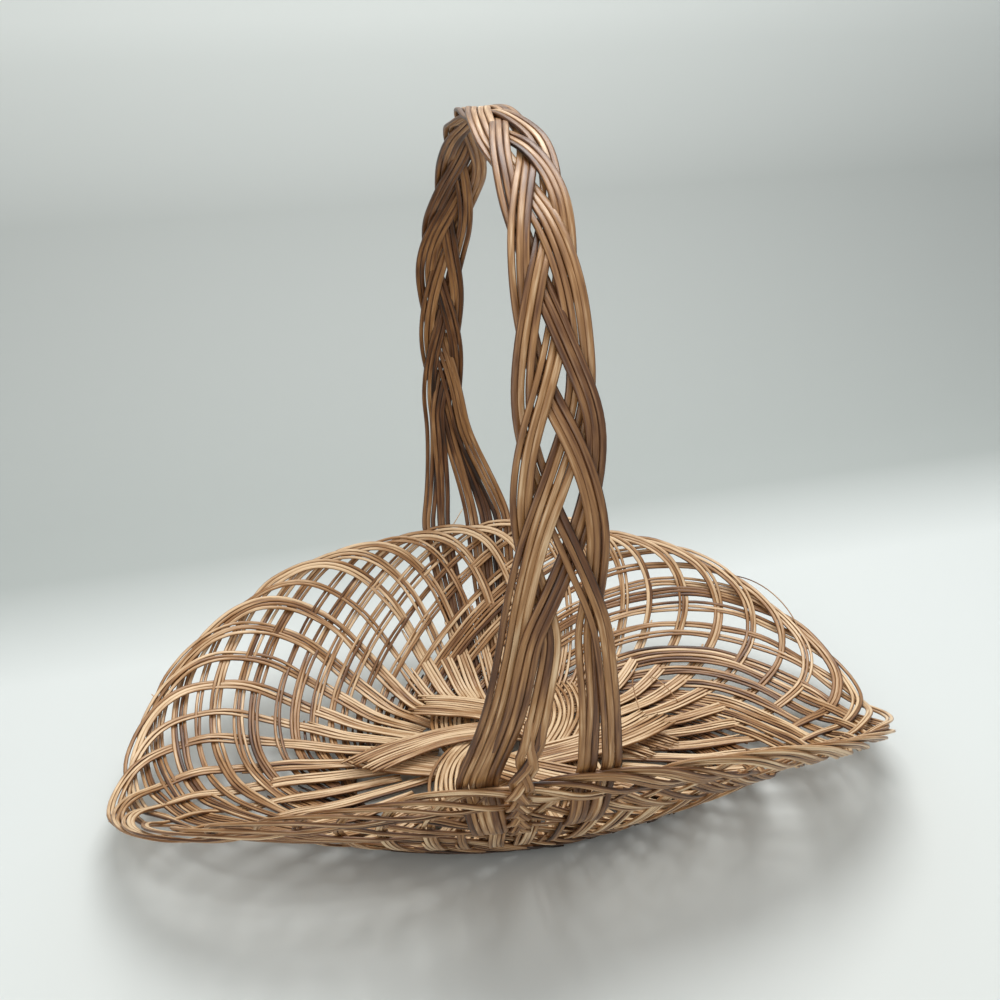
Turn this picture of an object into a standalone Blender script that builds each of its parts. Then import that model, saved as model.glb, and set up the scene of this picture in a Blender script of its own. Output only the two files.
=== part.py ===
# Foraging basket: a shallow open-work bowl of split cane with a tall plaited handle.
# Rods that are worked side by side, three or four at a time, are one flat band here.
# Each stake leaves the base on the inside of the wall and rises almost straight out to the
# rim, turns there and comes down on the outside in a long slant over a fifth of the way
# round. At the foot its tail slips under the next stakes and ends in a slanted cut that
# stands on the ground.
# The base is a whirl of wide bundles that lie over the stakes' inner ends.
# The handle is a flat plait whose strands fan out into legs down the outside of the wall.
import bisect
import math

import bmesh
import bpy
from mathutils import Vector

# Driving sizes in metres and counts
half_length = 0.245
half_depth = 0.170
tip_height = 0.0215
side_height = 0.106
handle_height = 0.403
base_half_length = 0.110
base_half_depth = 0.081
base_offset = 0.004
stake_count = 48
whirl_count = 6
strand_count = 5

# Bands of split cane, and the play between bands that cross
band_thickness = 0.0019
band_play = 0.00052
layer_step = band_thickness + band_play
half_step = layer_step / 2
turn_play = 0.0003
turn_step = layer_step + turn_play

# Wall: angles are counted in pitches, the angle from one stake to the next
stake_width = 0.0078
stake_end_share = 0.76
rim_inset = stake_width / 2
rim_exponent_share = 2.23
saddle_exponent_share = 1.6
bowl_bend_share = 0.33
pitch = 2 * math.pi / stake_count
rise = 3 * pitch
rise_exponent_share = 2.6
fall = 10.75 * pitch
fall_round = 0.8 * pitch
turn_reach = 1.4 * pitch
turn_fade = 1.3 * pitch
rise_crossings = (12, 10, 8, 6, 4, 3, 2, 1)
fall_crossings = range(1, 14)

# Foot: the tails lie three deep over each other under the edge of the base
foot_tuck = 0.0035
foot_round = 0.004
foot_layers = 3
foot_near = 0.003
foot_far = 0.012
foot_entry = 0.6 * pitch
foot_spans = 3
foot_span = 0.5 * pitch
foot_lead = 0.12 * pitch
tail_width = 0.0054
tail_taper_share = 0.4
tail_end_thickness = 0.0007
base_height = band_thickness / 2 + half_step + foot_layers * layer_step

# Base whirl: sizes across the base, drawn out along it to the shape of the base
whirl_phase = math.radians(25)
whirl_width = 0.023
whirl_eye = 0.018
whirl_margin = 0.0105
whirl_radius = base_half_depth - whirl_margin
whirl_curve = 0.096
whirl_flat = 0.0224
whirl_steep = 0.0368
whirl_ease_share = 0.7
whirl_play = 0.0006
whirl_step = layer_step + whirl_play
whirl_lift = 0.0038
whirl_spans = 12
whirl_dense_share = 0.45
whirl_strips = 3

# Handle
strand_width = 0.0062
plait_half_low = 0.0155
plait_half_top = 0.0124
plait_turns = 2.5
plait_phase_share = 0.05
plait_turnover = math.radians(4)
shoulder_out = 0.0286
shoulder_up = 0.112
crown_half = 0.148
front_sway = 0.0057
crown_sway = 0.0056
back_sway = -0.0095
splay_length = 0.085
front_ends = (-0.046, -0.034, -0.022, 0.014, 0.026)
back_ends = (-0.028, -0.016, 0.006, 0.018, 0.030)
leg_clear = 0.014
leg_low_share = 0.55
leg_high_share = 0.85
arch_samples = 200
quarter_spans = 3
splay_spans = 4
leg_spans = 7


def clear_scene():
    for item in list(bpy.data.objects):
        bpy.data.objects.remove(item, do_unlink=True)


def make_material(name, colour, roughness):
    material = bpy.data.materials.new(name)
    material.use_nodes = True
    shader = material.node_tree.nodes["Principled BSDF"]
    shader.inputs["Base Color"].default_value = (*colour, 1)
    shader.inputs["Roughness"].default_value = roughness
    shader.inputs["Metallic"].default_value = 0
    return material


def blend(value, low, high):
    # 0 below low, 1 above high and straight between them
    return min(max((value - low) / (high - low), 0), 1)


def ease(share):
    return share * share * (3 - 2 * share)


# Shape of the wall's middle surface

def base_radius(angle):
    return 1 / math.hypot(math.cos(angle) / base_half_length, math.sin(angle) / base_half_depth)


def rim_radius(angle):
    along = abs(math.cos(angle)) / half_length
    across = abs(math.sin(angle)) / half_depth
    power = rim_exponent_share
    return (along ** power + across ** power) ** (-1 / power) - rim_inset


def rim_height(angle):
    side_share = rim_radius(angle) * abs(math.sin(angle)) / (half_depth - rim_inset)
    return tip_height + (side_height - tip_height) * side_share ** saddle_exponent_share


def wall_share(angle, radius):
    # 0 at the edge of the base, 1 at the rim
    return (radius - base_radius(angle)) / (rim_radius(angle) - base_radius(angle))


def wall_radius(angle, share):
    return base_radius(angle) + (rim_radius(angle) - base_radius(angle)) * share


def wall_climb(share):
    # the wall's height as a share: a round bend out of the base, then nearly straight
    if share <= 0:
        return 0
    bend = bowl_bend_share
    return (math.hypot(share, bend) - bend) / (math.hypot(1, bend) - bend)


def wall_point(angle, share):
    radius = wall_radius(angle, share)
    climb = wall_climb(share)
    shift = base_offset * (1 - min(max(share, 0), 1))
    height = base_height + (rim_height(angle) - base_height) * climb
    return Vector((shift + radius * math.cos(angle), radius * math.sin(angle), height))


def wall_slopes(angle, share):
    near = 1e-4
    along = wall_point(angle + near, share) - wall_point(angle - near, share)
    up = wall_point(angle, share + near) - wall_point(angle, share - near)
    return along / (2 * near), up / (2 * near)


def wall_normal(angle, share):
    # points out of the basket: down under the base and outward on the wall
    along, up = wall_slopes(angle, share)
    return along.cross(up).normalized()


def wall_step(angle, share, offset):
    # how far the angle and the share move for a short step along the surface
    along, up = wall_slopes(angle, share)
    aa, au, uu = along.dot(along), along.dot(up), up.dot(up)
    a, u = offset.dot(along), offset.dot(up)
    scale = aa * uu - au * au
    return (a * uu - u * au) / scale, (u * aa - a * au) / scale


# Building a band

def add_band(name, sections, material):
    # each section is left and right on the inner face, then right and left on the outer
    mesh = bpy.data.meshes.new(name)
    bm = bmesh.new()
    loops = [[bm.verts.new(point) for point in section] for section in sections]
    for first, second in zip(loops, loops[1:]):
        for i in range(len(first)):
            j = (i + 1) % len(first)
            bm.faces.new((first[i], second[i], second[j], first[j]))
    bm.faces.new(loops[0])
    bm.faces.new(reversed(loops[-1]))
    bmesh.ops.recalc_face_normals(bm, faces=bm.faces)
    bm.to_mesh(mesh)
    bm.free()
    mesh.materials.append(material)
    band = bpy.data.objects.new(name, mesh)
    bpy.context.scene.collection.objects.link(band)
    return band


# Stakes

def rise_turn(share):
    # angle from the stake's turn at the rim back to where it passes a share of the wall
    power = rise_exponent_share
    return rise * (1 - share ** power) ** (1 / power)


def fall_turn(share):
    # angle from the turn at the rim on to where the stake passes a share of the wall
    full = math.hypot(fall, fall_round) - fall_round
    reach = fall_round + (1 - share) * full
    return math.sqrt(reach ** 2 - fall_round ** 2)


def crossing_share(number):
    # where a rising stake crosses the falling stake that is so many pitches behind it
    low, high = 0, 1
    for halving in range(40):
        middle = (low + high) / 2
        if rise_turn(middle) + fall_turn(middle) > number * pitch:
            low = middle
        else:
            high = middle
    return (low + high) / 2


def stake_share(turn, angle):
    # share of the wall at an angle of the stake's route: the fall ends round the foot
    past_top = turn - rise
    if past_top <= 0:
        power = rise_exponent_share
        return (1 - min(-past_top / rise, 1) ** power) ** (1 / power)
    full = math.hypot(fall, fall_round) - fall_round
    share = 1 - (math.hypot(past_top, fall_round) - fall_round) / full
    foot = base_radius(angle) - foot_tuck
    spare = wall_radius(angle, share) - foot
    return wall_share(angle, foot + (spare + math.hypot(spare, foot_round)) / 2)


def stake_layer(turn, past_base):
    # distance outward from the middle surface, from the place in the stake's own route:
    # inside while it rises, a steady twist through its turn at the rim, outside while it
    # falls, and one layer lower for each stake that its tail passes under at the foot
    past_top = turn - rise
    reach = min(max(past_top, -turn_reach), turn_reach)
    twist = turn_step * reach / pitch
    rest = math.copysign(half_step, past_top)
    fade = ease(blend(abs(past_top), turn_reach, turn_reach + turn_fade))
    layer = twist + (rest - twist) * fade
    past_entry = past_top - fall + foot_entry
    if past_entry > 0:
        depth = layer_step * past_entry / pitch
        layer += depth * (1 - ease(blend(past_base, foot_near, foot_far)))
    return layer


def stake_turns():
    # angles along the route: at the crossings on the wall, then under the foot
    turns = [0]
    turns += [rise - rise_turn(crossing_share(number)) for number in rise_crossings]
    turns += [rise]
    turns += [rise + fall_turn(crossing_share(number)) for number in fall_crossings]
    turns += [rise + fall + foot_span * k for k in range(foot_spans)]
    slant = (band_thickness - tail_end_thickness) / layer_step
    touch = rise + fall - foot_entry + foot_layers * pitch
    return turns + [touch + foot_lead, touch + slant * pitch]


def stake_half_width(turn, share):
    # the rods of a bundle close up where it comes down to the foot
    if turn <= rise:
        return stake_width / 2
    return (tail_width + (stake_width - tail_width) * ease(blend(share, 0, tail_taper_share))) / 2


def add_stake(index, material):
    start = index * pitch
    places = [(0, wall_share(start, base_radius(start) * stake_end_share))]
    places += [(turn, stake_share(turn, start + turn)) for turn in stake_turns()]
    points = [wall_point(start + turn, share) for turn, share in places]
    sections = []
    for i, (turn, share) in enumerate(places):
        angle = start + turn
        ahead = points[min(i + 1, len(points) - 1)] - points[max(i - 1, 0)]
        side = wall_normal(angle, share).cross(ahead).normalized() * stake_half_width(turn, share)
        faces = []
        for sign in (-1, 1):
            angle_step, share_step = wall_step(angle, share, side * sign)
            spot_angle, spot_share = angle + angle_step, share + share_step
            centre = wall_point(spot_angle, spot_share)
            normal = wall_normal(spot_angle, spot_share)
            past_base = wall_radius(spot_angle, spot_share) - base_radius(spot_angle)
            layer = stake_layer(spot_angle - start, past_base)
            inner = centre + normal * (layer - band_thickness / 2)
            outer = centre + normal * (layer + band_thickness / 2)
            outer.z = max(outer.z, 0)
            faces.append((inner, outer))
        (left_in, left_out), (right_in, right_out) = faces
        sections.append((left_in, right_in, right_out, left_out))
    return add_band(f"stake_{index + 1:02d}", sections, material)


# Base whirl

def whirl_reach():
    # half of a bundle's swing about the middle of its own arc
    back = whirl_curve - whirl_eye
    squares = whirl_curve ** 2 + back ** 2 - whirl_radius ** 2
    return math.acos(squares / (2 * whirl_curve * back))


def add_whirl(index, material):
    # one bundle: an arc that curls round the eye, each lying on the next like iris blades
    start = whirl_phase + 2 * math.pi * index / whirl_count
    back = whirl_curve - whirl_eye
    reach = whirl_reach()
    low = base_height + half_step + layer_step
    sections = []
    for k in range(whirl_spans + 1):
        run = 1 - 2 * k / whirl_spans
        swing = reach * run * (whirl_dense_share + (1 - whirl_dense_share) * run ** 2)
        under, over = [], []
        for i in range(whirl_strips + 1):
            radius = whirl_curve + whirl_width * (i / whirl_strips - 1 / 2)
            x, y = radius * math.cos(swing) - back, radius * math.sin(swing)
            angle, distance = math.atan2(y, x), math.hypot(x, y)
            flat = blend(distance, whirl_radius - whirl_steep, whirl_radius - whirl_flat)
            slope = whirl_step * whirl_count / (2 * math.pi) * (1 + (whirl_ease_share - 1) * flat)
            height = low + whirl_lift + slope * angle
            along, across = distance * math.cos(angle + start), distance * math.sin(angle + start)
            spot = Vector((base_offset + along * base_half_length / base_half_depth, across, height))
            half = Vector((0, 0, band_thickness / 2))
            under.append(spot - half)
            over.append(spot + half)
        sections.append(under + list(reversed(over)))
    return add_band(f"base_whirl_{index + 1}", sections, material)


# Handle

def turn_layer():
    return turn_step * turn_reach / pitch


def arch_point(share):
    # half of the handle's middle line, from the rim (0) to the crown (1)
    out = half_depth - rim_inset + turn_layer() + layer_step
    controls = ((out, side_height), (out + shoulder_out, side_height + shoulder_up),
                (crown_half, handle_height), (0, handle_height))
    rest = 1 - share
    weights = (rest ** 3, 3 * rest * rest * share, 3 * rest * share * share, share ** 3)
    y = sum(weight * point[0] for weight, point in zip(weights, controls))
    z = sum(weight * point[1] for weight, point in zip(weights, controls))
    return Vector((0, y, z))


def arch_sway(share):
    # the handle isn't quite upright: its sideways place at each quarter, eased between them
    sways = (0, front_sway, crown_sway, back_sway, 0)
    spans = len(sways) - 1
    i = min(int(share * spans), spans - 1)
    return sways[i] + (sways[i + 1] - sways[i]) * ease(share * spans - i)


def arch_line():
    # the whole middle line from the front rim to the back rim, with its running length
    half = [arch_point(k / arch_samples) for k in range(arch_samples + 1)]
    points = [Vector((0, -point.y, point.z)) for point in half[:-1]] + half[::-1]
    lengths = [0]
    for first, second in zip(points, points[1:]):
        lengths.append(lengths[-1] + (second - first).length)
    for point, length in zip(points, lengths):
        point.x = arch_sway(length / lengths[-1])
    return points, lengths


def arch_place(line, length):
    # the point at a running length, and the outward direction there
    points, lengths = line
    i = min(max(bisect.bisect_right(lengths, length), 1), len(points) - 1)
    part = (length - lengths[i - 1]) / (lengths[i] - lengths[i - 1])
    ahead = (points[i] - points[i - 1]).normalized()
    point = points[i - 1].lerp(points[i], part)
    return point, Vector((0, -ahead.z, ahead.y))


def plait_swing(index, share):
    # a strand swings from edge to edge as a flattened spiral
    return 2 * math.pi * (index / strand_count + plait_phase_share + plait_turns * share)


def plait_place(index, share):
    # sideways place and layer: over two strands from an edge to the middle, then under two
    swing = plait_swing(index, share)
    crown = math.sin(math.pi * share)
    half = plait_half_low + (plait_half_top - plait_half_low) * crown
    past_quarter = math.asin(math.sin(2 * swing)) / 2
    layer = half_step * min(max(past_quarter / plait_turnover, -1), 1)
    return half * math.cos(swing), layer


def plait_marks(index):
    # shares of the plait where a strand has ended or begins to change its layer, and between
    first, last = plait_swing(index, 0), plait_swing(index, 1)
    quarter = math.pi / 2
    marks = [0]
    for number in range(math.floor(first / quarter), math.ceil(last / quarter)):
        for k in range(quarter_spans + 1):
            part = (quarter - 2 * plait_turnover) * k / quarter_spans
            swing = number * quarter + plait_turnover + part
            if first < swing < last:
                marks.append((swing - first) / (last - first))
    return marks + [1]


def leg_layer(share):
    # clear of the stakes that turn outside the rim, and closer to the wall below them
    rise = ease(blend(share, leg_low_share, leg_high_share))
    return layer_step + half_step + (turn_layer() - half_step) * rise


def leg_places(side, across):
    # down the outside of the wall, from the rim to just above the foot
    angle = math.atan2(side * half_depth, across)
    foot = wall_share(angle, base_radius(angle) + leg_clear)
    places = []
    for k in range(1, leg_spans + 1):
        share = 1 + (foot - 1) * k / leg_spans
        normal = wall_normal(angle, share)
        places.append((wall_point(angle, share) + normal * leg_layer(share), normal))
    return places


def add_strand(index, line, material):
    total = line[1][-1]
    ends = []
    for share, leg_ends in ((0, front_ends), (1, back_ends)):
        order = sorted(range(strand_count), key=lambda k: plait_place(k, share)[0])
        ends.append(leg_ends[order.index(index)])
    splay = [splay_length * k / splay_spans for k in range(splay_spans)]
    plait = [splay_length + (total - 2 * splay_length) * mark for mark in plait_marks(index)]
    places = list(reversed(leg_places(-1, ends[0])))
    for length in splay + plait + [total - step for step in reversed(splay)]:
        across, layer = plait_place(index, blend(length, splay_length, total - splay_length))
        fan = ease(blend(min(length, total - length), 0, splay_length))
        end = ends[0] if length < total / 2 else ends[1]
        point, out = arch_place(line, length)
        point = point + Vector((end + (across - end) * fan, 0, 0)) + out * layer * fan
        places.append((point, out))
    places += leg_places(1, ends[1])
    sections = []
    for i, (point, out) in enumerate(places):
        ahead = places[min(i + 1, len(places) - 1)][0] - places[max(i - 1, 0)][0]
        side = out.cross(ahead).normalized() * strand_width / 2
        half = out * band_thickness / 2
        sections.append((point - side - half, point + side - half,
                         point + side + half, point - side + half))
    return add_band(f"handle_strand_{index + 1}", sections, material)


def main():
    clear_scene()
    cane = make_material("Split cane, brown", (0.30, 0.17, 0.09), 0.5)
    pale = make_material("Split cane, golden", (0.46, 0.29, 0.15), 0.5)
    for index in range(stake_count):
        add_stake(index, cane)
    for index in range(whirl_count):
        add_whirl(index, pale)
    line = arch_line()
    for index in range(strand_count):
        add_strand(index, line, cane)


main()
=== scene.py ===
import math

import bpy
import numpy as np
from mathutils import Matrix, Vector


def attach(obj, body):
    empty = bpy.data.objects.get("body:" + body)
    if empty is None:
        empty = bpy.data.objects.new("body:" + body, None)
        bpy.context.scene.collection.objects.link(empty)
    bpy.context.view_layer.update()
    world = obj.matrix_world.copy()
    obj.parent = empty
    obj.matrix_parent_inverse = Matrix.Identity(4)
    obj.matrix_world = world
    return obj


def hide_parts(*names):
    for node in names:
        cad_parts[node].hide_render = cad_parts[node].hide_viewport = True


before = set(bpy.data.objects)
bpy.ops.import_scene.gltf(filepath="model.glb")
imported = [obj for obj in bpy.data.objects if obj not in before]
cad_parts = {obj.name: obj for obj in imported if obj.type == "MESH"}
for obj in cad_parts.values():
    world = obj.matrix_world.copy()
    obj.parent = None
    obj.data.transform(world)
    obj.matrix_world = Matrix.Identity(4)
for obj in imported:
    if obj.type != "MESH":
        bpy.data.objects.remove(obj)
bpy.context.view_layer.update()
mm = 0.001
print("frame loaded:", len(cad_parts), "bands to dress")


# small helpers

def hexToLinear(code):
    # sRGB hex value to the linear colour that the shader wants
    parts = [int(code[i:i + 2], 16) / 255 for i in (1, 3, 5)]
    return tuple(p / 12.92 if p <= 0.04045 else ((p + 0.055) / 1.055) ** 2.4 for p in parts)


def addNode(tree, kind, settings=None, links=None):
    # one node with its settings and the sockets that feed it
    node = tree.nodes.new(kind)
    for key, value in (settings or {}).items():
        if isinstance(key, str) and hasattr(node, key):
            setattr(node, key, value)
        else:
            node.inputs[key].default_value = value
    for key, source in (links or {}).items():
        tree.links.new(source, node.inputs[key])
    return node


def setStops(ramp, stops):
    # colour stops of a ramp, each a place from 0 to 1 and an sRGB hex value
    elements = ramp.color_ramp.elements
    while len(elements) < len(stops):
        elements.new(0.5)
    for element, (place, colour) in zip(elements, stops):
        element.position = place
        element.color = (*hexToLinear(colour), 1)


def smooth(x, low, high):
    t = np.clip((x - low) / (high - low), 0, 1)
    return t * t * (3 - 2 * t)


def either(rng, reach):
    # a seeded number up to reach on either side of nought
    return rng.uniform(-reach, reach)


# drift of a rod: two waves, one about half as long as the other, each from a seeded place
drift = {
    "scales": (1.0, 0.47),
    "phases": 6.3,
}


def wander(rng, along, size, wave):
    # a slow, seeded drift along a rod, in the unit of size
    total = np.zeros_like(along)
    for scale in drift["scales"]:
        phase = rng.uniform(0, drift["phases"])
        total += np.sin(2 * math.pi * along / (wave * scale) + phase) * scale
    return total * size / sum(drift["scales"])


def pathLengths(points):
    return np.concatenate([[0], np.cumsum(np.linalg.norm(np.diff(points, axis=0), axis=1))])


def resample(points, extras, gap):
    # even steps along a path; extras are values that go with the points
    lengths = pathLengths(points)
    count = max(int(lengths[-1] / gap), 4)
    at = np.linspace(0, lengths[-1], count)
    return [np.interp(at, lengths, extra) for extra in extras]


# shape of the wall, the same as the solids it dresses
basket = {
    "halfLength": 245 * mm,
    "halfDepth": 170 * mm,
    "rimInset": 3.9 * mm,
    "tipHeight": 21.5 * mm,
    "sideHeight": 106 * mm,
    "handleHeight": 403 * mm,
    "baseHalfLength": 110 * mm,
    "baseHalfDepth": 81 * mm,
    "baseShift": 4 * mm,
    "baseHeight": 9.42 * mm,
    "rimPower": 2.23,
    "saddlePower": 1.6,
    "bowlBend": 0.33,
    "stakes": 48,
    "risePitches": 3,
    "risePower": 2.6,
    "fallPitches": 10.75,
    "fallRoundPitches": 0.8,
    "layerStep": 2.42 * mm,
    "turnStep": 2.72 * mm,
}
pitch = 2 * math.pi / basket["stakes"]
rise = basket["risePitches"] * pitch
fall = basket["fallPitches"] * pitch
fallRound = basket["fallRoundPitches"] * pitch
fallFull = math.hypot(fall, fallRound) - fallRound


def baseRadius(angle):
    return 1 / np.hypot(np.cos(angle) / basket["baseHalfLength"], np.sin(angle) / basket["baseHalfDepth"])


def rimRadius(angle):
    along = np.abs(np.cos(angle)) / basket["halfLength"]
    across = np.abs(np.sin(angle)) / basket["halfDepth"]
    power = basket["rimPower"]
    return (along ** power + across ** power) ** (-1 / power) - basket["rimInset"]


def wallShare(angle, radius):
    return (radius - baseRadius(angle)) / (rimRadius(angle) - baseRadius(angle))


def wallRadius(angle, share):
    return baseRadius(angle) + (rimRadius(angle) - baseRadius(angle)) * share


def wallPoint(angle, share):
    radius = wallRadius(angle, share)
    low, high, bend = basket["tipHeight"], basket["sideHeight"], basket["bowlBend"]
    side = np.abs(np.sin(angle)) * rimRadius(angle) / (basket["halfDepth"] - basket["rimInset"])
    rim = low + (high - low) * side ** basket["saddlePower"]
    up = np.maximum(share, 0)
    climb = (np.hypot(up, bend) - bend) / (math.hypot(1, bend) - bend)
    shift = basket["baseShift"] * (1 - np.clip(share, 0, 1))
    z = basket["baseHeight"] + (rim - basket["baseHeight"]) * climb
    return np.stack([shift + radius * np.cos(angle), radius * np.sin(angle), z], -1)


def wallSlopes(angle, share):
    near = 1e-4
    along = (wallPoint(angle + near, share) - wallPoint(angle - near, share)) / (2 * near)
    up = (wallPoint(angle, share + near) - wallPoint(angle, share - near)) / (2 * near)
    return along, up


def unit(vectors):
    return vectors / np.maximum(np.linalg.norm(vectors, axis=-1, keepdims=True), 1e-12)


def wallNormal(angle, share):
    along, up = wallSlopes(angle, share)
    return unit(np.cross(along, up))


def slideOnWall(angle, share, side, distance):
    # moves places sideways along the wall's surface
    along, up = wallSlopes(angle, share)
    aa, au, uu = (along * along).sum(-1), (along * up).sum(-1), (up * up).sum(-1)
    a, u = (side * along).sum(-1) * distance, (side * up).sum(-1) * distance
    scale = aa * uu - au * au
    return angle + (a * uu - u * au) / scale, share + (u * aa - a * au) / scale


# rods

def bezier(controls, steps):
    t = np.linspace(0, 1, steps)[:, None]
    weights = ((1 - t) ** 3, 3 * (1 - t) ** 2 * t, 3 * (1 - t) * t ** 2, t ** 3)
    return sum(weight * np.array(control) for weight, control in zip(weights, controls))


def pathFrame(points, up):
    ahead = unit(np.gradient(points, axis=0))
    side = unit(np.cross(up, ahead))
    return side, unit(np.cross(ahead, side))


def startBundle(name):
    return {"name": name, "points": [], "faces": [], "grain": [], "tone": [], "count": 0}


# section of a split rod: a flat strip with round corners, drawn in at both of its ends
section = {
    "sides": 8,
    "flat": 0.64,
    "cornerPower": 0.6,
    "endTaper": 0.6,
    # painted shade on the flanks of each rod, partly also the darker edges of aged cane
    "flankShade": 0.42,
    "grainSpread": 40,
}


def addRod(bundle, points, up, radius, tone, rng,
           flankShade=section["flankShade"], flat=section["flat"], sides=section["sides"]):
    # one rod, its flanks darker: painted shade where the neighbouring rods shade each other, partly also the
    # darker edges of aged cane
    n = len(points)
    side, outward = pathFrame(points, up)
    radius = np.broadcast_to(radius, (n,)).copy()
    radius[[0, -1]] *= section["endTaper"]
    radius[[1, -2]] *= (1 + section["endTaper"]) / 2
    turn = (np.arange(sides) + 0.5) * 2 * math.pi / sides
    power = section["cornerPower"]
    wide = np.sign(np.cos(turn)) * np.abs(np.cos(turn)) ** power
    high = np.sign(np.sin(turn)) * np.abs(np.sin(turn)) ** power * flat
    ring = side[:, None] * wide[None, :, None] + outward[:, None] * high[None, :, None]
    verts = points[:, None] + ring * radius[:, None, None]
    along = pathLengths(points)
    index = bundle["count"] + np.arange(n * sides).reshape(n, sides)
    shifted = np.roll(index, -1, axis=1)
    quads = np.stack([index[:-1], shifted[:-1], shifted[1:], index[1:]], -1).reshape(-1, 4)
    bundle["points"].append(verts.reshape(-1, 3))
    bundle["faces"] += quads.tolist()
    bundle["faces"] += [index[0][::-1].tolist(), index[-1].tolist()]
    bundle["count"] += n * sides
    # the grain runs along the rod from a place of its own, so that no two rods look alike
    offset = rng.uniform(0, section["grainSpread"], 3)
    grain = np.zeros((n, sides, 3))
    grain[..., 0] = np.cos(turn)[None] * radius.mean() + offset[0]
    grain[..., 1] = np.sin(turn)[None] * radius.mean() + offset[1]
    grain[..., 2] = along[:, None] + offset[2]
    bundle["grain"].append(grain.reshape(-1, 3))
    # the flanks get painted shade here, partly also the darker edges of aged cane
    tones = np.broadcast_to(tone, (n,))[:, None] - flankShade * np.cos(turn)[None] ** 2
    bundle["tone"].append(tones.ravel())


def finishBundle(bundle, material, node):
    mesh = bpy.data.meshes.new(bundle["name"])
    mesh.from_pydata(np.concatenate(bundle["points"]).tolist(), [], bundle["faces"])
    mesh.polygons.foreach_set("use_smooth", np.ones(len(mesh.polygons), bool))
    grain = mesh.attributes.new("grain", "FLOAT_VECTOR", "POINT")
    grain.data.foreach_set("vector", np.concatenate(bundle["grain"]).ravel().astype(np.float32))
    tone = mesh.attributes.new("tone", "FLOAT", "POINT")
    tone.data.foreach_set("value", np.concatenate(bundle["tone"]).astype(np.float32))
    mesh.materials.append(material)
    piece = bpy.data.objects.new(bundle["name"], mesh)
    bpy.context.scene.collection.objects.link(piece)
    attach(piece, "root")
    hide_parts(node)


# cane: split rods pressed flat and browned by age, with a dull wax sheen that runs along each rod
cane = {
    "dark": "#241206",
    "brown": "#633D1F",
    "tan": "#A5794C",
    "pale": "#E4C59D",
    "stops": ((0.12, "dark"), (0.42, "brown"), (0.7, "tan"), (0.95, "pale")),
    "fibre": {"pitch": 0.35 * mm, "draw": 0.02, "detail": 3, "roughness": 0.6},
    "streak": {"pitch": 1.1 * mm, "draw": 0.05, "detail": 2, "roughness": 0.5},
    "blotch": {"pitch": 28 * mm, "draw": 0.5, "detail": 3, "roughness": 0.55},
    "stain": {"pitch": 60 * mm, "draw": 0.5, "detail": 2, "roughness": 0.5},
    "fibreShare": 0.3,
    "streakShare": 0.7,
    "blotchShare": 0.6,
    "stainRange": (0.58, 0.7),
    "stainTone": -0.3,
    "sheen": (0.26, 0.5),
    "bumpStrength": 0.35,
    "bumpHeight": 0.12 * mm,
    "ior": 1.5,
}


def grainNoise(tree, grain, pitch, draw, detail, roughness):
    # noise in a rod's own coordinates, one blotch to a pitch, drawn out along the rod
    drawn = addNode(tree, "ShaderNodeVectorMath", {"operation": "MULTIPLY", 1: (1, 1, draw)},
                    {0: grain.outputs["Vector"]})
    noise = addNode(tree, "ShaderNodeTexNoise",
                    {"Scale": 1 / pitch, "Detail": detail, "Roughness": roughness},
                    {"Vector": drawn.outputs[0]})
    return noise.outputs["Fac"]


def caneMaterial(name, lift):
    # lift makes the whole cane lighter or darker
    material = bpy.data.materials.new(name)
    material.use_nodes = True
    tree = material.node_tree
    shader = tree.nodes["Principled BSDF"]
    shader.inputs["IOR"].default_value = cane["ior"]
    shader.inputs["Base Color"].default_value = (*hexToLinear(cane["brown"]), 1)
    grain = addNode(tree, "ShaderNodeAttribute", {"attribute_name": "grain"})
    tone = addNode(tree, "ShaderNodeAttribute", {"attribute_name": "tone"})
    # long fibres, each about a third of a millimetre wide
    fibre = grainNoise(tree, grain, **cane["fibre"])
    # slow change of colour along a rod, where bark was peeled thicker or thinner
    blotch = grainNoise(tree, grain, **cane["blotch"])
    # streaks of leftover bark and old wax, about a millimetre wide and some centimetres long
    streak = grainNoise(tree, grain, **cane["streak"])
    fibres = addNode(tree, "ShaderNodeMath",
                     {"operation": "MULTIPLY_ADD", 1: cane["fibreShare"], 2: lift}, {0: fibre})
    streaks = addNode(tree, "ShaderNodeMath", {"operation": "MULTIPLY_ADD", 1: cane["streakShare"]},
                      {0: streak, 2: fibres.outputs[0]})
    patches = addNode(tree, "ShaderNodeMath", {"operation": "MULTIPLY_ADD", 1: cane["blotchShare"]},
                      {0: blotch, 2: streaks.outputs[0]})
    # here and there a rod is stained dark where it was scraped or stood damp
    damp = grainNoise(tree, grain, **cane["stain"])
    dampFrom, dampFull = cane["stainRange"]
    stain = addNode(tree, "ShaderNodeMapRange",
                    {"From Min": dampFrom, "From Max": dampFull, "To Min": 0.0, "To Max": cane["stainTone"]},
                    {"Value": damp})
    stained = addNode(tree, "ShaderNodeMath", {"operation": "ADD"},
                      {0: patches.outputs[0], 1: stain.outputs[0]})
    shade = addNode(tree, "ShaderNodeMath", {"operation": "ADD"},
                    {0: stained.outputs[0], 1: tone.outputs["Fac"]})
    ramp = addNode(tree, "ShaderNodeValToRGB", {}, {"Fac": shade.outputs[0]})
    setStops(ramp, [(place, cane[colour]) for place, colour in cane["stops"]])
    tree.links.new(ramp.outputs["Color"], shader.inputs["Base Color"])
    glossy, dull = cane["sheen"]
    rough = addNode(tree, "ShaderNodeMapRange", {"To Min": glossy, "To Max": dull}, {"Value": fibre})
    tree.links.new(rough.outputs[0], shader.inputs["Roughness"])
    bump = addNode(tree, "ShaderNodeBump",
                   {"Strength": cane["bumpStrength"], "Distance": cane["bumpHeight"]}, {"Height": fibre})
    tree.links.new(bump.outputs["Normal"], shader.inputs["Normal"])
    return material


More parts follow.
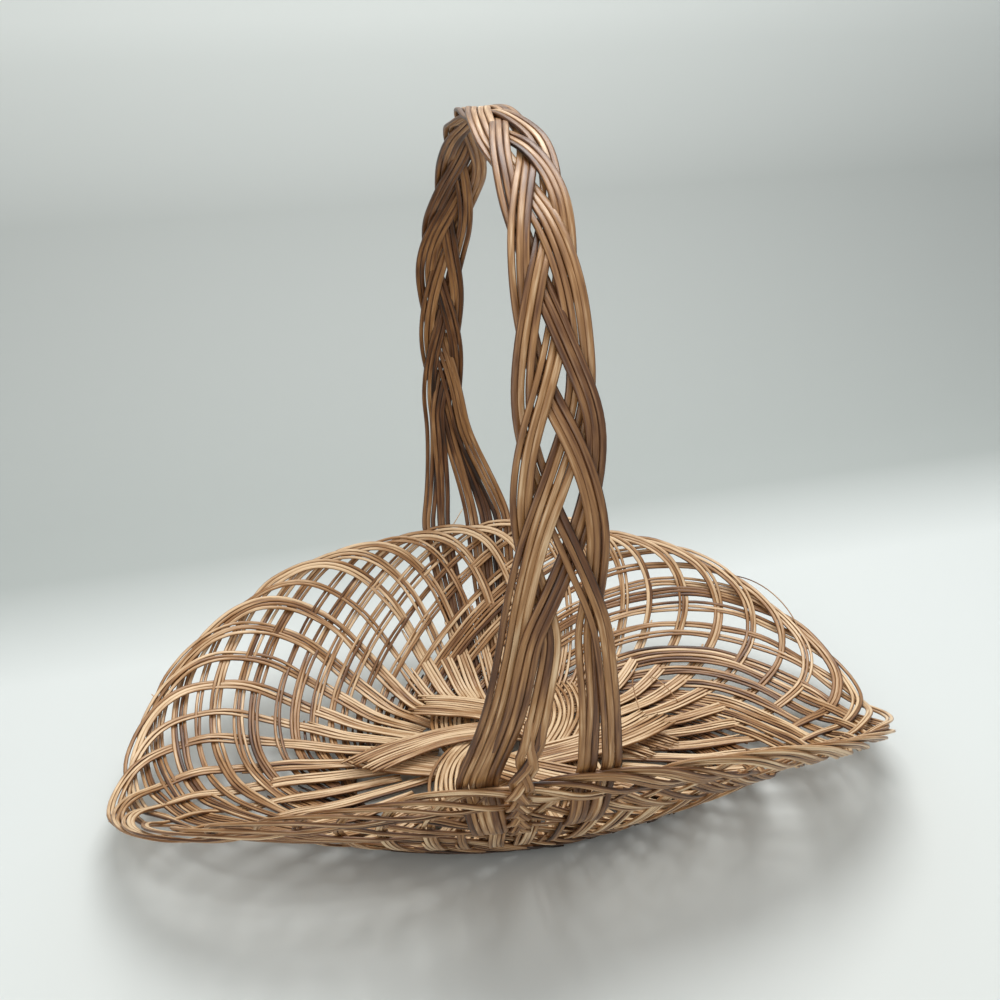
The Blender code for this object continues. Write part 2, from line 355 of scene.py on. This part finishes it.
wallCane = caneMaterial("Split cane, aged brown", 0.0)
baseCane = caneMaterial("Split cane, golden", 0.12)
handleCane = caneMaterial("Split cane, smoked brown", -0.135)
print("materials ready")


# wall: two to four rods go the whole way in each stake, woven under and over
wall = {
    "seed": 100,
    "startDrift": 0.1,
    "baseRods": 4,
    "longCounts": (2, 3, 4),
    "longOdds": (0.26, 0.6, 0.14),
    "shortEnds": (0.3, 0.62),
    "rodRadius": 1.22 * mm,
    "rodGap": 2.42 * mm,
    "rodDrift": 0.3 * mm,
    "thickness": (0.84, 1.08),
    "rootSize": 1.05,
    "thinning": 0.12,
    "lifts": (0.975, 1.0),
    "innerShares": (0.3, 0.68, 0.46, 0.7),
    "innerEdge": 0.97,
    "innerSteps": 8,
    "riseSteps": 26,
    "fallSteps": 90,
    "bunched": 0.72,
    "riseSpread": (-0.5, 0.25),
    "fallSpread": (0, 0.5),
    "turnReach": 1.4,
    "turnFade": 1.1,
    "weave": 1.25 * mm,
    "footTuck": 3.5 * mm,
    "footRound": 4 * mm,
    "footNear": 3 * mm,
    "footFar": 12 * mm,
    "footEntry": 0.6,
    "footLayers": 3,
    "footSpare": 0.3,
    "step": 5.5 * mm,
    "wanderSizes": (0.2 * mm, 0.7 * mm),
    "wanderWaves": (70 * mm, 160 * mm),
    "lumpSize": 0.18 * mm,
    "lumpWave": 0.35,
    "groupTone": 0.07,
    "rodTone": 0.17,
    "goldenTone": 0.14,
    "goldenFade": (0.1, 0.75),
    "fallTone": 0.05,
    # painted shade towards the foot, under the base
    "footShadeTone": 0.2,
    "footShadeFade": (0.0, 0.3),
    # painted highlight along the rim, where the light falls on it
    "rimHighlightTone": 0.11,
    "rimHighlightFade": (0.75, 0.95),
}
# shares of the wall that keep all of a rod's way up or down, or none of it
wholeWay = 2
noWay = -1
# weights that ease a rod's steps from one layer to the next
easing = np.array([1, 2, 3, 2, 1]) / 9
# thin, very dark rod ends, tucked in beside each tail under the foot
tails = {
    "radius": 1.0 * mm,
    "spread": 5.2 * mm,
    "spreads": (0.8, 1.2),
    "share": 0.3,
    "shares": (0.5, 1.1),
    "wanderSize": 1.2 * mm,
    "wanderWave": 60 * mm,
    "outside": 0.8 * mm,
    "tones": (-0.4, -0.22),
}
# fine fibres and twigs that stand off the weave: the number of the stake that each goes with, and its
# four bezier points, each an angle in degrees, a share of the wall and a height inside it in millimetres
strays = {
    "radius": 0.36 * mm,
    "steps": 16,
    "sides": 6,
    "flat": 1.0,
    # painted shade on the flanks of a stray
    "flankShade": 0.1,
    "tones": (0.0, 0.15),
    "routes": {
        5: ((33, 0.17, 1.5), (31, 0.12, 14), (27, 0.0, 16), (13, -0.1, 2.5)),
        4: ((30, 0.24, 1.5), (26, 0.2, 10), (20, 0.17, 9), (15, 0.15, 2)),
        3: ((31, 0.985, 0), (27, 1.08, 0), (21, 1.08, 0), (15, 0.97, 0)),
        13: ((95, 0.96, 0), (93, 1.0, 0), (91.5, 1.04, -1), (90, 1.08, -2)),
        22: ((163, 0.98, 0), (162.6, 1.0, -1), (162.2, 1.015, -2), (162, 1.03, -3)),
        26: ((192, 0.98, 0), (191, 1.0, 0), (190.4, 1.01, -1), (190, 1.02, -1.5)),
    },
}
# crossings from the rim down, and which of the two stakes is nearer the inside there
weaveCrossings = (0, 3.3, 3.7, 5.3, 5.7, 7.3, 7.7, 10.3, 10.7, 14)
weaveSigns = (1, 1, -1, -1, 1, 1, -1, -1, 1, 1)


def riseTurn(share):
    # angle from the turn at the rim back to where the rising stake passes a share of the wall
    power = basket["risePower"]
    return rise * (1 - np.clip(share, 0, 1) ** power) ** (1 / power)


def fallTurn(share):
    reach = fallRound + (1 - np.clip(share, 0, 1)) * fallFull
    return np.sqrt(reach ** 2 - fallRound ** 2)


def fallShare(past, angle):
    share = 1 - (np.hypot(past, fallRound) - fallRound) / fallFull
    foot = baseRadius(angle) - wall["footTuck"]
    spare = wallRadius(angle, share) - foot
    return wallShare(angle, foot + (spare + np.hypot(spare, wall["footRound"])) / 2)


def stakeLayer(past, share, pastBase):
    # distance outward from the middle of the wall, from the place in the stake's own route
    reach = wall["turnReach"] * pitch
    twist = basket["turnStep"] * np.clip(past, -reach, reach) / pitch
    crossing = (riseTurn(share) + fallTurn(share)) / pitch
    rest = np.sign(past) * wall["weave"] * np.interp(crossing, weaveCrossings, weaveSigns)
    fade = smooth(np.abs(past), reach, reach + wall["turnFade"] * pitch)
    layer = twist + (rest - twist) * fade
    entry = past - fall + wall["footEntry"] * pitch
    depth = basket["layerStep"] * np.maximum(entry, 0) / pitch
    return layer + depth * (1 - smooth(pastBase, wall["footNear"], wall["footFar"]))


def stakeRoute(start, innerShare, lift):
    # places on the wall from the middle of the base over the rim to the tail under the foot
    reaches = np.linspace(innerShare, wall["innerEdge"], wall["innerSteps"])
    inner = wallShare(start, baseRadius(start) * reaches)
    shares = np.sin(np.linspace(0, math.pi / 2, wall["riseSteps"]))
    tail = (wall["footLayers"] + wall["footSpare"] - wall["footEntry"]) * pitch
    past = np.linspace(0, fall + tail, wall["fallSteps"])[1:]
    top = start + rise
    angle = np.concatenate([np.full(len(inner), start), top - riseTurn(shares), top + past])
    falling = fallShare(past, top + past)
    share = np.concatenate([inner, shares * lift, np.where(falling > 0, falling * lift, falling)])
    return angle, share


def stakePath(start, innerShare, lift, sideways, up, down):
    # the rod is kept below the share up on its way to the rim and below the share down on its way back
    angle, share = stakeRoute(start, innerShare, lift)
    kept = share < np.where(angle < start + rise, up, down)
    angle, share = angle[kept], share[kept]
    angle, share = resample(wallPoint(angle, share), (angle, share), wall["step"])
    points = wallPoint(angle, share)
    side, _ = pathFrame(points, wallNormal(angle, share))
    past = angle - start - rise
    # rods lie closer together on the base and at the foot than on the wall
    spread = np.where(past < 0, smooth(share, *wall["riseSpread"]), smooth(share, *wall["fallSpread"]))
    tight = wall["bunched"] + (1 - wall["bunched"]) * spread
    angle, share = slideOnWall(angle, share, side, sideways(pathLengths(points)) * tight)
    pastBase = wallRadius(angle, share) - baseRadius(angle)
    layer = stakeLayer(angle - start - rise, share, pastBase)
    layer = np.convolve(np.pad(layer, len(easing) // 2, mode="edge"), easing, mode="valid")
    normal = wallNormal(angle, share)
    return wallPoint(angle, share) + normal * layer[:, None], normal, share, past > 0


def addStakeRods(bundle, start, innerShare, lift, groupTone, rng):
    # four rods leave the base side by side, and up to two of them end on the way up
    whole = rng.choice(wall["longCounts"], p=wall["longOdds"])
    first = rng.randint(0, wall["baseRods"] - whole + 1)
    for rod in range(wall["baseRods"]):
        rest = (rod - (wall["baseRods"] - 1) / 2) * wall["rodGap"] + either(rng, wall["rodDrift"])
        size = rng.uniform(*wall["wanderSizes"])
        wave = rng.uniform(*wall["wanderWaves"])
        ends = (wholeWay, wholeWay)
        if not first <= rod < first + whole:
            ends = (rng.uniform(*wall["shortEnds"]), noWay)
        points, normal, share, falling = stakePath(
            start, innerShare, lift, lambda along: rest + wander(rng, along, size, wave), *ends)
        along = np.linspace(0, 1, len(points))
        points = points + normal * wander(rng, along, wall["lumpSize"], wall["lumpWave"])[:, None]
        thick = wall["rodRadius"] * rng.uniform(*wall["thickness"])
        thick = thick * (wall["rootSize"] - wall["thinning"] * along)
        points[:, 2] = np.maximum(points[:, 2], thick)
        # golden on the base and a little darker on the way down; painted shade darkens it towards the foot
        # under the base, and a painted highlight makes it paler at the rim where the light falls
        golden = (1 - smooth(share, *wall["goldenFade"])) * ~falling
        tone = groupTone + either(rng, wall["rodTone"])
        tone = tone + wall["goldenTone"] * golden - wall["fallTone"] * falling
        tone = tone - wall["footShadeTone"] * falling * (1 - smooth(share, *wall["footShadeFade"]))
        tone = tone + wall["rimHighlightTone"] * smooth(share, *wall["rimHighlightFade"])
        addRod(bundle, points, normal, thick, tone, rng)


def addTails(bundle, start, innerShare, lift, rng):
    for side in (-1, 1):
        spread = side * tails["spread"] * rng.uniform(*tails["spreads"])
        points, normal, _, _ = stakePath(
            start, innerShare, lift,
            lambda along: spread + wander(rng, along, tails["wanderSize"], tails["wanderWave"]),
            noWay, tails["share"] * rng.uniform(*tails["shares"]))
        points = points + normal * tails["outside"]
        points[:, 2] = np.maximum(points[:, 2], tails["radius"])
        addRod(bundle, points, normal, tails["radius"], rng.uniform(*tails["tones"]), rng)


def addStray(bundle, route, rng):
    controls = []
    for degrees, share, height in route:
        angle, share = np.array([math.radians(degrees)]), np.array([share])
        controls.append((wallPoint(angle, share) - wallNormal(angle, share) * height * mm)[0])
    points = bezier(controls, strays["steps"])
    normal = np.tile(wallNormal(angle, share), (strays["steps"], 1))
    addRod(bundle, points, normal, strays["radius"], rng.uniform(*strays["tones"]), rng,
           strays["flankShade"], strays["flat"], strays["sides"])


def buildStake(index):
    rng = np.random.RandomState(wall["seed"] + index)
    bundle = startBundle(f"stakeRods_{index + 1:02d}")
    start = (index + either(rng, wall["startDrift"])) * pitch
    innerShare = wall["innerShares"][index % len(wall["innerShares"])]
    lift = rng.uniform(*wall["lifts"])
    groupTone = either(rng, wall["groupTone"])
    addStakeRods(bundle, start, innerShare, lift, groupTone, rng)
    addTails(bundle, start, innerShare, lift, rng)
    if index + 1 in strays["routes"]:
        addStray(bundle, strays["routes"][index + 1], rng)
    finishBundle(bundle, wallCane, f"stake_{index + 1:02d}")


for index in range(basket["stakes"]):
    buildStake(index)
print("wall rods woven")


# base whirl: bundles of ten rods that bow round the middle, each lying on the next
whirl = {
    "seed": 500,
    "bundles": 6,
    "rods": 10,
    "rodRadius": 1.25 * mm,
    "rodGap": 2.3 * mm,
    "thickness": (0.88, 1.1),
    "gather": 0.1,
    "phase": math.radians(25),
    "eye": 18 * mm,
    "curve": 96 * mm,
    "reach": 71.5 * mm,
    "ends": (0.94, 1.06),
    "spans": 40,
    "step": 3.02 * mm,
    "lift": 4.1 * mm,
    "lowLayers": 1.5,
    "easeIn": 33.7 * mm,
    "easeOut": 48.1 * mm,
    "easeShare": 0.7,
    "wanderSize": 0.5 * mm,
    "wanderWave": 0.6,
    "lumpSize": 0.15 * mm,
    "lumpWave": 0.5,
    "tones": (-0.16, 0.12),
}


def buildWhirl(index):
    rng = np.random.RandomState(whirl["seed"] + index)
    bundle = startBundle(f"whirlRods_{index + 1}")
    start = whirl["phase"] + 2 * math.pi * index / whirl["bundles"]
    # half of a bundle's swing, to where its own arc meets the reach from the middle of the base
    back = whirl["curve"] - whirl["eye"]
    squares = whirl["curve"] ** 2 + back ** 2 - whirl["reach"] ** 2
    swingEnd = math.acos(squares / (2 * whirl["curve"] * back))
    low = basket["baseHeight"] + whirl["lowLayers"] * basket["layerStep"]
    stretch = basket["baseHalfLength"] / basket["baseHalfDepth"]
    for rod in range(whirl["rods"]):
        place = rod - (whirl["rods"] - 1) / 2
        ends = rng.uniform(*whirl["ends"], 2)
        swing = np.linspace(swingEnd * ends[0], -swingEnd * ends[1], whirl["spans"])
        along = np.linspace(0, 1, len(swing))
        gather = 1 + whirl["gather"] * np.cos(along * 2 * math.pi)
        radius = whirl["curve"] + place * whirl["rodGap"] * gather
        radius = radius + wander(rng, along, whirl["wanderSize"], whirl["wanderWave"])
        x, y = radius * np.cos(swing) - back, radius * np.sin(swing)
        angle, distance = np.arctan2(y, x), np.hypot(x, y)
        flat = np.clip((distance - whirl["easeIn"]) / (whirl["easeOut"] - whirl["easeIn"]), 0, 1)
        slope = whirl["step"] * whirl["bundles"] / (2 * math.pi) * (1 + (whirl["easeShare"] - 1) * flat)
        z = low + whirl["lift"] + slope * angle
        z = z + wander(rng, along, whirl["lumpSize"], whirl["lumpWave"])
        x = basket["baseShift"] + distance * np.cos(angle + start) * stretch
        points = np.stack([x, distance * np.sin(angle + start), z], -1)
        tone = rng.uniform(*whirl["tones"])
        thick = whirl["rodRadius"] * rng.uniform(*whirl["thickness"])
        addRod(bundle, points, np.tile([0.0, 0.0, 1.0], (len(points), 1)), thick, tone, rng)
    finishBundle(bundle, baseCane, f"base_whirl_{index + 1}")


for index in range(whirl["bundles"]):
    buildWhirl(index)
print("base whirl laid")


# handle: a flat plait of five groups of three or four rods, fanned out into legs; its half widths and its
# sideways places are set at each eighth of the way from the front rim to the back rim
handle = {
    "seed": 900,
    "rods": (3, 3, 4, 3, 3),
    "rodRadius": 1.76 * mm,
    "rodGap": 3.25 * mm,
    "thickness": (0.86, 1.08),
    # painted shade on the flanks of the handle's rods
    "flankShade": 0.27,
    "halves": (17 * mm, 17 * mm, 11.2 * mm, 11.8 * mm, 8.4 * mm, 11.2 * mm, 12 * mm, 11 * mm, 10.4 * mm),
    "sways": (0, -0.6 * mm, 4.2 * mm, 8.2 * mm, 1.6 * mm, 2.4 * mm, -8.6 * mm, -9.6 * mm, 0),
    "turns": 2.5,
    "phase": math.pi / 10,
    "layer": 1.95 * mm,
    "layerPower": 2.2,
    "outside": 6.2 * mm,
    "shoulderOut": 28.6 * mm,
    "shoulderUp": 112 * mm,
    "crownHalf": 148 * mm,
    "archSteps": 300,
    "samples": 260,
    "softenings": 3,
    "fanBend": 0.25,
    "splay": 85 * mm,
    "fans": (122 * mm, 85 * mm),
    "step": 5 * mm,
    "wanderSizes": (0.2 * mm, 0.6 * mm),
    "wanderWave": 0.2,
    "lumpSize": 0.35 * mm,
    "lumpWave": 0.1,
    "rodTone": 0.14,
    # painted shade on the back leg and a painted highlight on the crown
    "backShadeTone": -0.1,
    "backShadeFade": (0.5, 0.68),
    "crownHighlightTone": 0.05,
    "crownPlace": 0.47,
    "crownSpread": 0.12,
}
# legs: their places along the front and the back rim from left to right, and how far outside the middle
# of the wall they run between the shares of it that are given
legs = {
    "ends": ((-45 * mm, -34.5 * mm, -22 * mm, 14 * mm, 26 * mm),
             (-28 * mm, -16 * mm, 6 * mm, 18 * mm, 30 * mm)),
    "clear": 14 * mm,
    "top": 0.97,
    "samples": 14,
    "backLow": 3.6 * mm,
    "backRise": 2.4 * mm,
    "backShares": (0.55, 0.85),
    "frontLow": 3.4 * mm,
    "insideRim": -4.6 * mm,
    "outsideRim": 5.4 * mm,
    "rimShares": (0.76, 0.92),
    "tuck": 7 * mm,
    "tuckShares": (0.48, 0.64),
    "braidedOut": 2 * mm,
    "plainOut": -9 * mm,
    "outReach": 60 * mm,
}
# small plait of the middle leg at the front, by the length run from the leg's foot
smallPlait = {
    "place": 2,
    "fade": (130 * mm, 165 * mm),
    "secondEnd": 170 * mm,
    "wave": 44 * mm,
    "half": 4.4 * mm,
    "layer": 1.9 * mm,
    "pairHalf": 1.2 * mm,
    "thinning": 0.25,
    "secondTone": 0.1,
}
groupCount = len(handle["rods"])


def eased(values, share):
    # values at even places from 0 to 1, eased between them
    values = np.array(values)
    run = share * (len(values) - 1)
    low = np.minimum(run.astype(int), len(values) - 2)
    return values[low] + (values[low + 1] - values[low]) * smooth(run - low, 0, 1)


def archLine():
    out = basket["halfDepth"] - basket["rimInset"] + handle["outside"]
    controls = [(out, basket["sideHeight"]),
                (out + handle["shoulderOut"], basket["sideHeight"] + handle["shoulderUp"]),
                (handle["crownHalf"], basket["handleHeight"]),
                (0, basket["handleHeight"])]
    half = bezier(controls, handle["archSteps"])
    front = np.stack([0 * half[:, 0], -half[:, 0], half[:, 1]], -1)
    points = np.concatenate([front[:-1], front[::-1] * np.array([1, -1, 1])])
    # the handle isn't quite upright
    lengths = pathLengths(points)
    points[:, 0] = eased(handle["sways"], lengths / lengths[-1])
    return points, pathLengths(points)


archPoints, archLengths = archLine()
archTotal = archLengths[-1]


def archPlace(length):
    point = np.stack([np.interp(length, archLengths, archPoints[:, i]) for i in range(3)], -1)
    slopes = [np.gradient(archPoints[:, i], archLengths) for i in range(3)]
    ahead = unit(np.stack([np.interp(length, archLengths, slope) for slope in slopes], -1))
    return point, np.stack([0 * length, -ahead[:, 2], ahead[:, 1]], -1)


def plaitPlace(group, share):
    swing = 2 * math.pi * (group / groupCount + handle["turns"] * share) + handle["phase"]
    half = eased(handle["halves"], np.asarray(share, float))
    # over two groups from the edge to the middle, then under two to the other edge
    layer = handle["layer"] * np.clip(np.sin(2 * swing) * handle["layerPower"], -1, 1)
    return half * np.cos(swing), layer


def legPath(side, across, braided):
    # the front legs go down inside the rim's strands, show under them and go in again
    angle = np.full(legs["samples"], math.atan2(side * basket["halfDepth"], across))
    foot = wallShare(angle[0], baseRadius(angle[0]) + legs["clear"])
    share = np.linspace(legs["top"], foot, legs["samples"])
    normal = wallNormal(angle, share)
    if side > 0:
        layer = legs["backLow"] + legs["backRise"] * smooth(share, *legs["backShares"])
    else:
        over = legs["outsideRim"] if braided else legs["insideRim"]
        layer = legs["frontLow"] + (over - legs["frontLow"]) * smooth(share, *legs["rimShares"])
        layer = layer - legs["tuck"] * (1 - smooth(share, *legs["tuckShares"]))
    return wallPoint(angle, share) + normal * layer[:, None], normal


def strandPlaces(group):
    # the group's place from left to right where the plait ends at the front and at the back
    places = []
    for share in (0.0, 1.0):
        order = sorted(range(groupCount), key=lambda k: float(plaitPlace(k, share)[0]))
        places.append(order.index(group))
    return places


def strandPath(group, places, braided):
    # middle of the group from the foot of its front leg over the plait to the foot of its back leg
    ends = [legs["ends"][side][places[side]] for side in (0, 1)]
    length = np.linspace(0, archTotal, handle["samples"])
    share = np.clip((length - handle["splay"]) / (archTotal - 2 * handle["splay"]), 0, 1)
    across, layer = plaitPlace(group, share)
    # the legs leave the plait in an easy bend and run straight to the rim
    frontFan, backFan = handle["fans"]
    left = 1 - np.clip(np.minimum(length / frontFan, (archTotal - length) / backFan), 0, 1)
    bend = handle["fanBend"]
    fan = 1 - (np.hypot(left, bend) - bend) / (math.hypot(1, bend) - bend)
    end = np.where(length < archTotal / 2, ends[0], ends[1])
    point, out = archPlace(length)
    frontOut = legs["braidedOut"] if braided else legs["plainOut"]
    frontOut = frontOut * (1 - smooth(length, 0, legs["outReach"]))
    middle = point + out * (layer * fan + frontOut)[:, None]
    middle[:, 0] += end + (across - end) * fan
    front, frontNormal = legPath(-1, ends[0], braided)
    back, backNormal = legPath(1, ends[1], False)
    middle = np.concatenate([front[::-1], middle, back])
    up = np.concatenate([frontNormal[::-1], out, backNormal])
    spots = resample(middle, [*middle.T, *up.T], handle["step"])
    middle, up = np.stack(spots[:3], -1), unit(np.stack(spots[3:], -1))
    for _ in range(handle["softenings"]):
        middle[1:-1] = middle[1:-1] * 0.5 + (middle[:-2] + middle[2:]) * 0.25
    return middle, up


def buildStrand(group):
    rng = np.random.RandomState(handle["seed"] + group)
    bundle = startBundle(f"handleRods_{group + 1}")
    places = strandPlaces(group)
    # the middle leg at the front is a small plait of its own and stays outside the rim
    braided = places[0] == smallPlait["place"]
    middle, up = strandPath(group, places, braided)
    side, outward = pathFrame(middle, up)
    rods = handle["rods"][group]
    along = np.linspace(0, 1, len(middle))
    run = pathLengths(middle)
    braid = (1 - smooth(run, *smallPlait["fade"])) * braided
    # painted shade on the back leg, which faces away from the light, and a painted highlight on the crown
    crownHighlight = np.exp(-((along - handle["crownPlace"]) / handle["crownSpread"]) ** 2)
    shade = handle["backShadeTone"] * smooth(along, *handle["backShadeFade"]) + handle["crownHighlightTone"] * crownHighlight
    pairHalf = smallPlait["pairHalf"]
    for rod in range(rods):
        size = rng.uniform(*handle["wanderSizes"])
        place = (rod - (rods - 1) / 2) * handle["rodGap"] + wander(rng, along, size, handle["wanderWave"])
        lift = wander(rng, along, handle["lumpSize"], handle["lumpWave"])
        swing = 2 * math.pi * (run / smallPlait["wave"] + rod / rods)
        place = place + (smallPlait["half"] * np.cos(swing) - place) * braid
        lift = lift + smallPlait["layer"] * np.sin(2 * swing) * braid
        thick = handle["rodRadius"] * rng.uniform(*handle["thickness"])
        thick = thick * (1 - smallPlait["thinning"] * braid)
        tone = either(rng, handle["rodTone"]) + shade
        points = middle + side * (place - pairHalf * braid)[:, None] + outward * lift[:, None]
        addRod(bundle, points, up, thick, tone, rng, handle["flankShade"])
        if braided:
            # in the small plait every rod has a second one beside it
            few = run < smallPlait["secondEnd"]
            points = middle + side * (place + pairHalf)[:, None] + outward * lift[:, None]
            secondTone = tone[few] + either(rng, smallPlait["secondTone"])
            addRod(bundle, points[few], up[few], thick[few], secondTone, rng, handle["flankShade"])
    finishBundle(bundle, handleCane, f"handle_strand_{group + 1}")


for group in range(groupCount):
    buildStrand(group)
print("handle plaited")


# floor and backdrop: one pale paper sweep that rolls up behind the basket
studio = {
    # length along the floor and then up the sweep, in metres from under the basket, and the colour there
    "paper": ((-0.25, "#D4D8D5"), (0.08, "#D5D9D7"), (0.22, "#D5D9D7"), (0.42, "#A9AEAB"),
              (1.22, "#ADB1AE"), (1.5, "#D6DAD7")),
    "paperStart": -0.5,
    "paperReach": 2.5,
    "roughness": 0.7,
    "frontEdge": -1.6,
    "bendStart": 0.55,
    "bendRadius": 0.45,
    "bendSteps": 12,
    "top": 2.6,
    "halfWidth": 3.0,
    "turn": math.radians(6),
    "worldColour": "#F2F5F7",
    "worldLevel": 0.6,
}
# a broad, soft window above and a weaker, warmer light from the front left
lamps = {
    "window": {"place": (0.2, 0.35, 1.5), "target": (0, 0, 0.1), "size": 1.1, "power": 18,
               "colour": "#FFFFFF"},
    "front": {"place": (-0.8, -1.3, 1.0), "target": (0, 0, 0.15), "size": 1.2, "power": 7,
              "colour": "#FFFAF3"},
}


def paperMaterial():
    # matt paper, darker where the light falls off on the sweep
    material = bpy.data.materials.new("Matt paper sweep")
    material.use_nodes = True
    tree = material.node_tree
    shader = tree.nodes["Principled BSDF"]
    shader.inputs["Roughness"].default_value = studio["roughness"]
    start, reach = studio["paperStart"], studio["paperReach"]
    place = addNode(tree, "ShaderNodeTexCoord")
    split = addNode(tree, "ShaderNodeSeparateXYZ", {}, {0: place.outputs["Object"]})
    run = addNode(tree, "ShaderNodeMath", {"operation": "ADD"},
                  {0: split.outputs["Y"], 1: split.outputs["Z"]})
    part = addNode(tree, "ShaderNodeMapRange", {"From Min": start, "From Max": start + reach},
                   {"Value": run.outputs[0]})
    ramp = addNode(tree, "ShaderNodeValToRGB", {}, {"Fac": part.outputs[0]})
    setStops(ramp, [((spot - start) / reach, colour) for spot, colour in studio["paper"]])
    tree.links.new(ramp.outputs["Color"], shader.inputs["Base Color"])
    return material


def buildSweep():
    bendStart, radius, steps = studio["bendStart"], studio["bendRadius"], studio["bendSteps"]
    profile = [(studio["frontEdge"], 0.0), (bendStart, 0.0)]
    for k in range(1, steps + 1):
        swing = math.pi / 2 * k / steps
        profile.append((bendStart + radius * math.sin(swing), radius - radius * math.cos(swing)))
    profile.append((bendStart + radius, studio["top"]))
    verts = [(x, y, z) for x in (-studio["halfWidth"], studio["halfWidth"]) for y, z in profile]
    count = len(profile)
    faces = [(i, i + 1, count + i + 1, count + i) for i in range(count - 1)]
    mesh = bpy.data.meshes.new("sweep")
    mesh.from_pydata(verts, [], [tuple(reversed(face)) for face in faces])
    mesh.polygons.foreach_set("use_smooth", [True] * len(mesh.polygons))
    mesh.materials.append(paperMaterial())
    sweepPaper = bpy.data.objects.new("sweep", mesh)
    sweepPaper.rotation_euler.z = studio["turn"]
    bpy.context.scene.collection.objects.link(sweepPaper)


def addLamp(name, place, target, size, power, colour):
    lamp = bpy.data.lights.new(name, "AREA")
    lamp.shape = "DISK"
    lamp.size = size
    lamp.energy = power
    lamp.color = hexToLinear(colour)
    holder = bpy.data.objects.new(name, lamp)
    holder.location = place
    holder.rotation_euler = (Vector(target) - Vector(place)).to_track_quat("-Z", "Y").to_euler()
    bpy.context.scene.collection.objects.link(holder)


buildSweep()
world = bpy.data.worlds.new("studio")
world.use_nodes = True
background = world.node_tree.nodes["Background"]
background.inputs["Color"].default_value = (*hexToLinear(studio["worldColour"]), 1)
background.inputs["Strength"].default_value = studio["worldLevel"]
bpy.context.scene.world = world
for lampName, lampSettings in lamps.items():
    addLamp(lampName, **lampSettings)
print("studio set")


# camera fitted to the rim, the handle and the foot of the photograph: its place and near limit in
# metres, its angles in degrees, its lens and sensor in millimetres
view = {
    "place": (-0.0895, -0.5969, 0.4194),
    "azimuth": 8.716,
    "elevation": 21.05,
    "roll": -2.357,
    "lens": 39.6,
    "sensor": 36,
    "near": 0.01,
}


def addCamera():
    camera = bpy.data.cameras.new("camera")
    camera.lens = view["lens"]
    camera.sensor_width = view["sensor"]
    camera.clip_start = view["near"]
    holder = bpy.data.objects.new("camera", camera)
    azimuth, elevation, roll = (math.radians(view[key]) for key in ("azimuth", "elevation", "roll"))
    level = math.cos(elevation)
    ahead = Vector((math.sin(azimuth) * level, math.cos(azimuth) * level, -math.sin(elevation)))
    right = ahead.cross(Vector((0, 0, 1))).normalized()
    up = right.cross(ahead)
    turned = right * math.cos(roll) + up * math.sin(roll)
    upright = up * math.cos(roll) - right * math.sin(roll)
    matrix = Matrix((turned, upright, -ahead)).transposed().to_4x4()
    matrix.translation = Vector(view["place"])
    holder.matrix_world = matrix
    bpy.context.scene.collection.objects.link(holder)
    bpy.context.scene.camera = holder


addCamera()
bpy.context.scene.view_settings.view_transform = "Standard"
